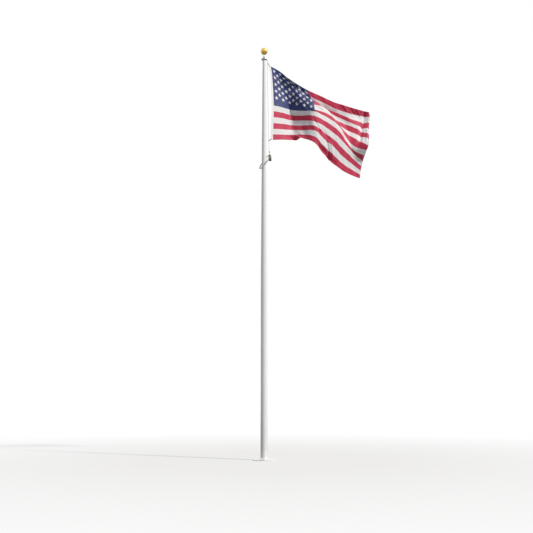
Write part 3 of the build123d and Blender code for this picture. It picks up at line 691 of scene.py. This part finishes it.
@dataclass
class Hoist:
    """What hangs from the halyard beside the flag: rope, snaps, weight and sling.

    Attributes:
        fall: Reach and height in mm of the ends of the rope that leaves the truck.
        lead: Reach and height in mm of the points of the rope beside the flag.
        bead_places: How many beads would fill the loop, bare ends included.
    """

    rope_radius: float = 0.004
    fall: Profile = ((105, 10688.3), (105, 10649))
    lead: Profile = ((105, 10626.7), (105, 10480), (107, 10245), (118, 9820), (131, 9255),
                     (143, 8700), (149, 8331), (152, 8217), (163, 8131.9))
    top_snap_eye: Vector = field(default_factory=lambda: fly(105, 0, 10638))
    bottom_snap_eye: Vector = field(default_factory=lambda: fly(147.7, 0, 8417))
    sling_top: Vector = field(default_factory=lambda: fly(172.8, 0, 8041.1))
    sling_foot: Vector = field(default_factory=lambda: fly(-112, 0, 7610))
    sling_half_mm: float = 130.0
    bead_places: int = 38
    bare_at_ends: int = 2

    def build(self) -> None:
        """Dress the CAD nodes and add the ropes, the beads and the snaps' bodies."""
        dress(STAINLESS, "halyard_link", "sling_ring", "weight_eye")
        dress(OLD_BRONZE, "swivel", "snap_bottom")
        dress(WHITE_NYLON, "snap_top")
        dress(VINYL_CABLE, "sling_cable")
        dress(DIPPED_VINYL, "counterweight")
        dress(ROLLED_BRASS, "grommet_top", "grommet_bottom")
        self.add_ropes()
        self.add_beads()
        self.add_snap_bodies()

    def add_snap_bodies(self) -> None:
        """Add the moulded cover of the top snap and the cast body of the bottom one."""
        bore, wall, half, shift = 0.0066, 0.0089, 0.038, 0.002
        shares = [math.sin(math.pi / 2 * step / 10) for step in range(-10, 11)]
        profile = [(bore + wall * math.sqrt(max(0.0, 1 - share ** 4)), shift + half * share)
                   for share in shares]
        top = bmesh.new()
        place, way = self.snap_line("grommet_top", self.top_snap_eye)
        turned_shape(top, profile, 28, frame_at(place, way), closed=True)
        cover = finished("snap_top_cover", top, [WHITE_NYLON])
        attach(cover, "flag_set")
        profile = [(0.0064, -0.019), (0.0104, -0.0185), (0.0112, -0.0150), (0.0098, -0.0132),
                   (0.0098, -0.0110), (0.0128, -0.0085), (0.0136, 0.0070), (0.0112, 0.0165),
                   (0.0064, 0.0180)]
        foot = bmesh.new()
        place, way = self.snap_line("grommet_bottom", self.bottom_snap_eye)
        middle = (place + centre("snap_bottom")) / 2
        turned_shape(foot, profile, 28, frame_at(middle, way), closed=True)
        body = finished("snap_bottom_body", foot, [OLD_BRONZE])
        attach(body, "flag_set")

    def snap_line(self, grommet: str, anchor: Vector) -> tuple[Vector, Vector]:
        """Give the middle between an anchor and a grommet, and the way from one to the other."""
        hole = centre(grommet)
        return anchor.lerp(hole, 0.5), (hole - anchor).normalized()

    def add_ropes(self) -> None:
        """Add the rope beside the flag and the rope that pays out of the truck."""
        lead = rope("halyard_lead_rope", [fly(reach, 0, z) for reach, z in self.lead],
                    self.rope_radius, BRAIDED_ROPE)
        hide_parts("halyard_lead")
        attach(lead, "flag_set")
        top, foot = (fly(reach, 0, z) for reach, z in self.fall)
        route = [top.lerp(foot, share / 4) for share in range(5)]
        fall = rope("halyard_fall_rope", route, self.rope_radius, BRAIDED_ROPE)
        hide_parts("halyard_fall")
        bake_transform(fall)

    def loop(self, angle: float) -> Vector:
        """Give the point of the sling's loop at an angle, in radians, from its top."""
        middle, side = (self.sling_top + self.sling_foot) / 2, fly(0, self.sling_half_mm, 0)
        return middle + (self.sling_top - middle) * math.cos(angle) + side * math.sin(angle)

    def add_beads(self) -> None:
        """Thread the beads on the sling, at even steps along its loop."""
        fine = 720
        places = [self.loop(math.tau * step / fine) for step in range(fine + 1)]
        lengths = [(after - before).length for before, after in zip(places, places[1:])]
        run = list(accumulate(lengths, initial=0.0))
        beads = bmesh.new()
        profile = [(0.0031, -0.011), (0.0062, -0.0117), (0.0102, -0.0102), (0.0133, -0.0066),
                   (0.0149, 0), (0.0133, 0.0066), (0.0102, 0.0102), (0.0062, 0.0117),
                   (0.0031, 0.011)]
        at = 0
        for count in range(self.bare_at_ends, self.bead_places - self.bare_at_ends):
            wanted = run[-1] * (count + 0.5) / self.bead_places
            while run[at + 1] < wanted:
                at += 1
            way = (places[at + 1] - places[at]).normalized()
            place = places[at] + way * (wanted - run[at])
            turned_shape(beads, profile, 20, frame_at(place, way), closed=True)
        made = finished("sling_bead_string", beads, [SLING_BEAD])
        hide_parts("sling_beads")
        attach(made, "flag_set")


@dataclass(frozen=True)
class Fold:
    """A small fold of the cloth: a ridge along a line, or a groove where its lift is negative.

    Attributes:
        start: u and v of its start.
        end: u and v of its end.
        breadth: Half its breadth in metres.
        lift: Its height in metres towards the front.
    """

    start: tuple[float, float]
    end: tuple[float, float]
    breadth: float
    lift: float

    def height(self, u: float, v: float) -> float:
        """Give the height of the fold at a place on the cloth.

        Args:
            u: Share of the way to the fly.
            v: Share of the way down.

        Returns:
            The height in metres.
        """
        start, end, place = (Vector((a * FLAT[0], b * FLAT[1]))
                             for a, b in (self.start, self.end, (u, v)))
        way, off = end - start, place - start
        along, across = off.dot(way) / way.length, off.cross(way) / way.length
        beyond = max(0.0, -along, along - way.length)
        return self.lift * math.exp(-(across / self.breadth) ** 2
                                    - (beyond / (2.5 * self.breadth)) ** 2)


@dataclass
class Flag:
    """The flag: a sewn nylon field of thirteen stripes and a starred canton, on a duck heading.

    A place on the cloth is given by u, the share of the way from the hoist to the fly, and v, the
    share of the way from the top edge to the bottom edge.

    Attributes:
        hung: Rows of a net of points, given as judged places in the view. knots_along is the
        u of each column, and knots_down the place of each row, in stripes.
        folds: Folds that lie between the net's points.
        waves: Height, turns along and down, and start of each small ripple.
        ripple_free: u where the ripples start, and the share over which they grow.
        seam: Width of the doubled cloth at each end of a stripe, as a share.
        single_share: Thickness of single cloth, as a share of the doubled cloth's.
        eyelet: Radius of the heading's holes, which end under the grommets' flanges.
        clamp_reach: Radius within which a grommet flattens the cloth, fading out by clamp_fade.
        clamped: u up to which the grommets reach.
        star_lifts: Lift of a star's edge, and the rise of its middle above that.
    """

    heading: float = 0.05
    hem: float = 0.03
    canton: float = 0.4
    stripes: int = 13
    canton_stripes: int = 7
    knots_along: tuple[float, ...] = (0, .1, .185, .26, .4, .52, .64, .76, .88, 1)
    knots_down: tuple[float, ...] = (0, 1, 2.5, 4, 5, 6, 7, 9, 11, 13)
    hung: tuple[tuple[tuple[float, float, float], ...], ...] = (
        ((85, 90, 9), (208, 158, 23), (299, 230, 24), (383, 289, 27), (545, 385, 43),
         (702, 456, 67), (858, 528, 91), (1010, 577, 113), (1160, 622, 139), (1292, 655, 154)),
        ((97, 158, 11), (208, 213, 27), (314, 262, 31), (410, 345, 35), (585, 465, 54),
         (740, 540, 80), (888, 613, 101), (1022, 659, 124), (1165, 695, 148), (1302, 713, 158)),
        ((106, 259, 12), (224, 304, 31), (341, 342, 36), (437, 374, 36), (588, 505, 58),
         (722, 602, 86), (868, 668, 106), (1020, 735, 128), (1162, 798, 142), (1292, 822, 148)),
        ((111, 361, 13), (235, 402, 34), (350, 447, 40), (449, 468, 33), (632, 512, 42),
         (748, 617, 76), (866, 730, 104), (1006, 800, 132), (1150, 855, 134), (1290, 927, 133)),
        ((115, 429, 13), (239, 463, 34), (348, 510, 44), (452, 527, 36), (632, 560, 30),
         (775, 612, 66), (884, 748, 93), (1002, 860, 130), (1150, 922, 128), (1290, 978, 124)),
        ((117, 498, 14), (246, 535, 34), (350, 570, 48), (455, 588, 40), (634, 622, 26),
         (783, 668, 62), (909, 768, 86), (1010, 902, 121), (1140, 980, 119), (1284, 1055, 115)),
        ((118, 566, 14), (248, 596, 33), (352, 627, 50), (460, 637, 42), (636, 643, 27),
         (786, 717, 60), (924, 812, 84), (1008, 950, 110), (1112, 1065, 117), (1262, 1113, 119)),
        ((115, 710, 13), (250, 728, 32), (354, 752, 49), (462, 755, 43), (640, 765, 28),
         (780, 842, 60), (903, 936, 82), (1008, 1042, 104), (1105, 1153, 124), (1215, 1245, 143)),
        ((110, 853, 13), (250, 860, 29), (368, 868, 46), (468, 872, 40), (642, 877, 30),
         (756, 981, 60), (871, 1076, 84), (970, 1185, 106), (1081, 1274, 130), (1190, 1362, 152)),
        ((105, 988, 12), (252, 985, 25), (384, 988, 39), (470, 970, 34), (645, 1030, 36),
         (745, 1150, 66), (846, 1255, 90), (952, 1345, 112), (1067, 1409, 134), (1181, 1452, 156)),
    )
    folds: tuple[Fold, ...] = (
        Fold((0.235, 0.40), (0.285, 0.53), 0.028, 0.030),
        Fold((0.275, 0.38), (0.345, 0.52), 0.028, 0.026),
        Fold((0.060, 0.46), (0.095, 0.60), 0.018, 0.012),
        Fold((0.085, 0.55), (0.110, 0.74), 0.018, 0.011),
        Fold((0.120, 0.84), (0.160, 0.93), 0.022, -0.016),
        Fold((0.150, 0.95), (0.205, 1.00), 0.045, -0.050),
        Fold((0.225, 0.96), (0.260, 1.00), 0.035, 0.040),
        Fold((0.945, 0.02), (0.915, 0.42), 0.060, -0.055),
        Fold((0.985, 0.10), (0.975, 0.40), 0.030, 0.030),
        Fold((0.730, 0.00), (0.760, 0.05), 0.030, 0.026),
        Fold((0.800, 0.00), (0.830, 0.06), 0.030, -0.026),
        Fold((0.865, 0.00), (0.885, 0.06), 0.030, 0.024),
        Fold((0.470, 0.97), (0.640, 0.985), 0.060, -0.060),
        Fold((0.560, 0.86), (0.600, 0.97), 0.035, -0.040),
        Fold((0.605, 0.85), (0.640, 0.95), 0.028, 0.022),
        Fold((0.405, 0.40), (0.470, 0.44), 0.030, -0.022),
        Fold((0.400, 0.68), (0.450, 0.80), 0.030, -0.024),
        Fold((0.500, 0.76), (0.560, 0.80), 0.040, -0.020),
    )
    waves: tuple[tuple[float, float, float, float], ...] = (
        (0.0050, 5.5, 2.2, 0.6), (0.0035, 11, -3.1, 2.1), (0.0016, 19, 6.3, 4.0))
    ripple_free: tuple[float, float] = (0.03, 0.2)
    canton_columns: int = 100
    stripe_columns: int = 92
    stripe_rows: int = 10
    seam: float = 0.05
    cloth_thick: float = 0.0016
    single_share: float = 0.35
    heading_thick: float = 0.0026
    eyelet: float = 0.0126
    clamp_reach: float = 0.060
    clamp_fade: float = 0.042
    clamped: float = 0.1
    star_top: float = 0.0495
    star_step: float = 0.0471
    star_radius: float = 0.062
    star_waist: float = 0.382
    star_border: float = 0.07
    star_lifts: tuple[float, float] = (0.0012, 0.0008)
    view: View = field(default_factory=View)

    def __post_init__(self) -> None:
        """Set the hung points in the room."""
        self.length, self.width = FLAT
        self.head_share = self.heading / self.length
        self.net = [[self.view.seen(*point) for point in row] for row in self.hung]
        self.known: dict[float, list[Vector]] = {}
        self.clamps = [self.clamp(node) for node in ("grommet_top", "grommet_bottom")]

    @staticmethod
    def clamp(node: str) -> tuple[Vector, Vector]:
        """Give the middle and the axis of a grommet, whose largest facet is on a flange."""
        flange = max(frame["nodes"][node].data.polygons, key=lambda facet: facet.area)
        return centre(node), flange.normal.copy()

    @staticmethod
    def smooth(knots: Sequence[float], values: Sequence[Vector], at: float) -> Vector:
        """Give a point of the smooth line through some values.

        Args:
            knots: The place of each value along the line.
            values: The values.
            at: The wanted place.

        Returns:
            The value there.
        """
        last = len(knots) - 1
        step = max(k for k in range(last) if knots[k] <= at or k == 0)
        ways = []
        for k in (step, step + 1):
            before, after = max(k - 1, 0), min(k + 1, last)
            if before == k or after == k:
                ways.append((values[after] - values[before]) / (knots[after] - knots[before]))
                continue
            early, late = knots[k] - knots[before], knots[after] - knots[k]
            ways.append(((values[k] - values[before]) * (late / early)
                         + (values[after] - values[k]) * (early / late)) / (early + late))
        span = knots[step + 1] - knots[step]
        t = (at - knots[step]) / span
        return (values[step] * ((1 + 2 * t) * (1 - t) ** 2) + ways[0] * (span * t * (1 - t) ** 2)
                + values[step + 1] * (t * t * (3 - 2 * t)) + ways[1] * (span * t * t * (t - 1)))

    def base(self, u: float, v: float) -> Vector:
        """Give the point of the hung cloth without its small ripples.

        Args:
            u: Share of the way to the fly.
            v: Share of the way down.

        Returns:
            The point.
        """
        key = round(u, 7)
        if key not in self.known:
            self.known[key] = [self.smooth(self.knots_along, row, u) for row in self.net]
        return self.smooth(self.knots_down, self.known[key], v * self.stripes)

    def normal(self, u: float, v: float) -> Vector:
        """Give the direction out of the cloth's front face at a place.

        Args:
            u: Share of the way to the fly.
            v: Share of the way down.

        Returns:
            The direction, of length 1.
        """
        step = 0.002
        along = self.base(min(u + step, 1), v) - self.base(max(u - step, 0), v)
        down = self.base(u, min(v + step, 1)) - self.base(u, max(v - step, 0))
        return down.cross(along).normalized()

    def point(self, u: float, v: float, lift: float = 0.0) -> Vector:
        """Give the point of the cloth at a place, lifted off its middle if wanted.

        Args:
            u: Share of the way to the fly.
            v: Share of the way down.
            lift: Height above the middle of the cloth towards its front, in metres.

        Returns:
            The point.
        """
        way = self.normal(u, v)
        waves = sum(height * math.sin(math.tau * (along * u + down * v) + phase)
                    for height, along, down, phase in self.waves)
        folds = sum(fold.height(u, v) for fold in self.folds)
        free = min(1.0, max(0.0, (u - self.ripple_free[0]) / self.ripple_free[1]))
        place = self.base(u, v) + way * (free * (waves + folds))
        if u < self.clamped:
            for middle, axis in self.clamps:
                off = (place - middle).dot(axis)
                reach = (place - middle - axis * off).length
                share = min(1.0, max(0.0, (self.clamp_reach - reach) / self.clamp_fade))
                place -= axis * (off * share * share * (3 - 2 * share))
        return place + way * lift

    def hang(self, mesh: Mesh, laid: dict[bmesh.types.BMVert, tuple[float, float]]) -> None:
        """Move points onto the cloth and write u and v as their UV map.

        Args:
            mesh: The mesh, in which each point's Z is its lift.
            laid: u and v of each point that is moved.
        """
        layers = mesh.loops.layers.uv
        layer = layers.get("UVMap") or layers.new("UVMap")
        for vert, (u, v) in laid.items():
            for corner in vert.link_loops:
                corner[layer].uv = (u, 1 - v)
            vert.co = self.point(u, v, vert.co.z)

    def grid(self, columns: Sequence[float], rows: Sequence[float],
             paint: Callable[[float, float], Optional[int]], lift: float = 0.0) -> Mesh:
        """Make a grid and hang it on the cloth.

        Args:
            columns: The u of each column.
            rows: The v of each row.
            paint: Gives the material number of a face at u and v, or None to leave it out.
            lift: Height above the cloth's middle.

        Returns:
            The mesh, with u and v as its UV map.
        """
        mesh = bmesh.new()
        wide, tall = len(columns) - 1, len(rows) - 1
        bmesh.ops.create_grid(mesh, x_segments=wide, y_segments=tall, size=0.5)
        laid = {}
        for number, vert in enumerate(mesh.verts):
            up, across = divmod(number, wide + 1)
            laid[vert] = (columns[across], rows[tall - up])
            vert.co.z = lift
        spare = []
        for face in mesh.faces:
            u, v = (sum(shares) / 4 for shares in zip(*(laid[vert] for vert in face.verts)))
            colour = paint(u, v)
            if colour is None:
                spare.append(face)
            else:
                face.material_index = colour
        self.hang(mesh, laid)
        bmesh.ops.delete(mesh, geom=spare, context="FACES")
        return mesh

    def build_field(self) -> Piece:
        """Make the striped field with its canton, seams and hems.

        Returns:
            The field.
        """
        hem = 1 - self.hem / self.length
        hem_columns = [hem, (hem + 1) / 2, 1.0]
        columns = steps(self.head_share, self.canton, self.canton_columns)
        columns += steps(self.canton, hem, self.stripe_columns) + hem_columns
        shares = [0.0] + steps(self.seam, 1 - self.seam, self.stripe_rows) + [1 - self.seam]
        rows = [(stripe + share) / self.stripes for stripe in range(self.stripes)
                for share in shares] + [1.0]

        def paint(u: float, v: float) -> int:
            """Choose the cloth: 0 red, 1 white, 2 navy."""
            stripe = int(v * self.stripes)
            in_canton = u < self.canton and stripe < self.canton_stripes
            return 2 if in_canton else stripe % 2

        mesh = self.grid(columns, rows, paint)
        made = finished("flag_cloth", mesh, [RED_NYLON, WHITE_NYLON_CLOTH, NAVY_NYLON])
        wide, per_stripe = len(columns), len(shares)
        seams = [k for k in range(len(made.data.vertices))
                 if k // wide % per_stripe in (0, 1, per_stripe - 1)
                 or k % wide >= wide - len(hem_columns)]
        doubled = made.vertex_groups.new(name="doubled_cloth")
        doubled.add(seams, 1.0, "REPLACE")
        thick = made.modifiers.new("cloth", "SOLIDIFY")
        thick.thickness = self.cloth_thick
        thick.offset = 0.0
        thick.vertex_group = doubled.name
        thick.thickness_vertex_group = self.single_share
        return made

    def build_heading(self) -> Piece:
        """Make the duck heading, with its holes for the grommets.

        Returns:
            The heading.
        """
        end_step, end_rows, middle_rows, wide, overlap = 0.003, 16, 78, 20, 0.012
        ends = steps(0.0, end_step * end_rows / self.width, end_rows)
        middle = steps(ends[-1], 1 - ends[-1], middle_rows)[1:]
        rows = ends + middle + [1 - place for place in reversed(ends)]
        reach = self.head_share + overlap / self.length
        columns = steps(0.0, reach, wide) + [reach]

        def paint(u: float, v: float) -> Optional[int]:
            """Leave out the faces under the grommets' flanges, so that their holes stay clear."""
            return None if self.from_grommet(u, v) < self.eyelet else 0

        mesh = self.grid(columns, rows, paint)
        made = finished("flag_heading_duck", mesh, [DUCK_HEADING])
        thick = made.modifiers.new("duck", "SOLIDIFY")
        thick.thickness = self.heading_thick
        thick.offset = 0.0
        return made

    def from_grommet(self, u: float, v: float) -> float:
        """Give the distance of a place on the cloth from the nearest grommet's middle."""
        place = self.point(u, v)
        return min((place - middle).length for middle, _ in self.clamps)

    def build_stitching(self) -> Piece:
        """Sew rows of stitches along the heading and the fly hem, on both faces.

        Returns:
            The stitching.
        """
        thread, stitch, sewn_share, lift, clear = 0.0012, 0.005 / self.width, 0.8, 0.0019, 0.017
        places = [place / self.length for place in (0.007, 0.040, 0.047, 0.058)]
        places += [1 - place / self.length for place in (0.028, 0.024, 0.006)]
        columns = [edge for place in places for edge in (place, place + thread / self.length)]
        first = 0.004 / self.width
        count = int(0.99 / stitch)
        rows = [edge for start in steps(first, first + count * stitch, count)
                for edge in (start, start + sewn_share * stitch)]

        def paint(u: float, v: float) -> Optional[int]:
            """Leave out what lies between the rows and between the stitches."""
            in_row = sum(edge < u for edge in columns) % 2 == 1
            in_stitch = (v - first) / stitch % 1 < sewn_share
            return 0 if in_row and in_stitch and self.from_grommet(u, v) > clear else None

        sewn = bmesh.new()
        for side in (1, -1):
            run = self.grid(columns, rows, paint, side * lift)
            if side < 0:
                bmesh.ops.reverse_faces(run, faces=run.faces[:])
            pour(run, sewn)
        return finished("flag_stitching", sewn, [STAR_THREAD])

    def build_stars(self) -> Piece:
        """Sew the stars on both faces of the canton, in rows of six and five by turns.

        Each is a flat star of radius 1, whose Z is 1 inside its border, laid on the cloth.

        Returns:
            The stars.
        """
        flat = bmesh.new()
        bmesh.ops.create_circle(flat, cap_ends=True, segments=10, radius=1.0)
        flat.verts.ensure_lookup_table()
        for number, vert in enumerate(flat.verts):
            angle = math.radians(90 + 36 * number)
            reach = 1.0 if number % 2 == 0 else self.star_waist
            vert.co = Vector((math.cos(angle), math.sin(angle), 0)) * reach
        border = bmesh.ops.inset_region(flat, faces=flat.faces[:], thickness=self.star_border)
        inside = [face for face in flat.faces if face not in border["faces"]]
        for vert in {vert for face in inside for vert in face.verts}:
            vert.co.z = 1.0
        bmesh.ops.poke(flat, faces=inside)
        bmesh.ops.subdivide_edges(flat, edges=flat.edges[:], cuts=2, use_grid_fill=True)
        star = bpy.data.meshes.new("star")
        flat.to_mesh(star)
        flat.free()
        stars = bmesh.new()
        edge_lift, rise = self.star_lifts
        places = [(row, column) for row in range(9) for column in range(1 + row % 2, 12, 2)]
        for side in (1, -1):
            for row, column in places:
                u = self.head_share + column / 12 * (self.canton - self.head_share)
                v = self.star_top + row * self.star_step
                start = len(stars.verts)
                stars.from_mesh(star)
                stars.verts.ensure_lookup_table()
                laid = {}
                for vert in stars.verts[start:]:
                    laid[vert] = (u + side * vert.co.x * self.star_radius / self.length,
                                  v - vert.co.y * self.star_radius / self.width)
                    vert.co.z = side * (edge_lift + rise * vert.co.z)
                self.hang(stars, laid)
        bpy.data.meshes.remove(star)
        return finished("flag_stars", stars, [STAR_THREAD])

    def build(self) -> None:
        """Build the flag's pieces and attach them to the flag's body."""
        cloth = self.build_field()
        heading = self.build_heading()
        stars = self.build_stars()
        stitching = self.build_stitching()
        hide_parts("flag_field")
        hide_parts("flag_heading")
        for piece in (cloth, heading, stars, stitching):
            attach(piece, "flag_set")


def main() -> None:
    """Build the scene around the CAD frame."""
    logging.basicConfig(level=logging.INFO, format="%(name)s: %(message)s")
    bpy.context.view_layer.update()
    bpy.context.scene.view_settings.view_transform = "Standard"
    for part in (View(), Studio(), Mast(), Truck(), Hoist(), Flag()):
        part.build()
    bpy.context.view_layer.update()


if __name__ == "__main__":
    main()
